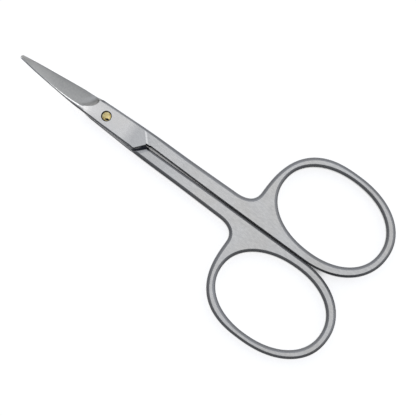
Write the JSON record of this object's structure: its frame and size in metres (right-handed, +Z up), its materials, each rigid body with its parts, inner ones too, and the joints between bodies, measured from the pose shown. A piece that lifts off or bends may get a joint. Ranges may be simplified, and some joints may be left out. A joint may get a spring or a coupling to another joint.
{
  "type": "nail scissors",
  "caption": "Curved steel nail scissors with oval finger rings, forged in halves that turn on a brass screw.",
  "frame": {"origin": "centre of the underside of the bounding box, which the closed scissors lie on", "axes": "+X from the tips to the finger rings, +Z up out of the face that the picture shows, along the pivot, +Y towards the front half's ring"},
  "size_m": [0.09, 0.044, 0.0052],
  "materials": {
    "satin_steel": "satin brushed, matte on the ground faces of the blades",
    "brass": "filed flush, dull gloss"
  },
  "bodies": {
    "rear": {"rear_half": "satin_steel"},
    "front": {"front_half": "satin_steel", "pivot_screw": "brass"}
  },
  "joints": [
    {"name": "pivot", "type": "hinge", "parent": "rear", "child": "front", "pos_m": [-0.02247, 0, 0.00145], "axis": [0, 0, 1], "range_deg": [0, 90]}
  ]
}
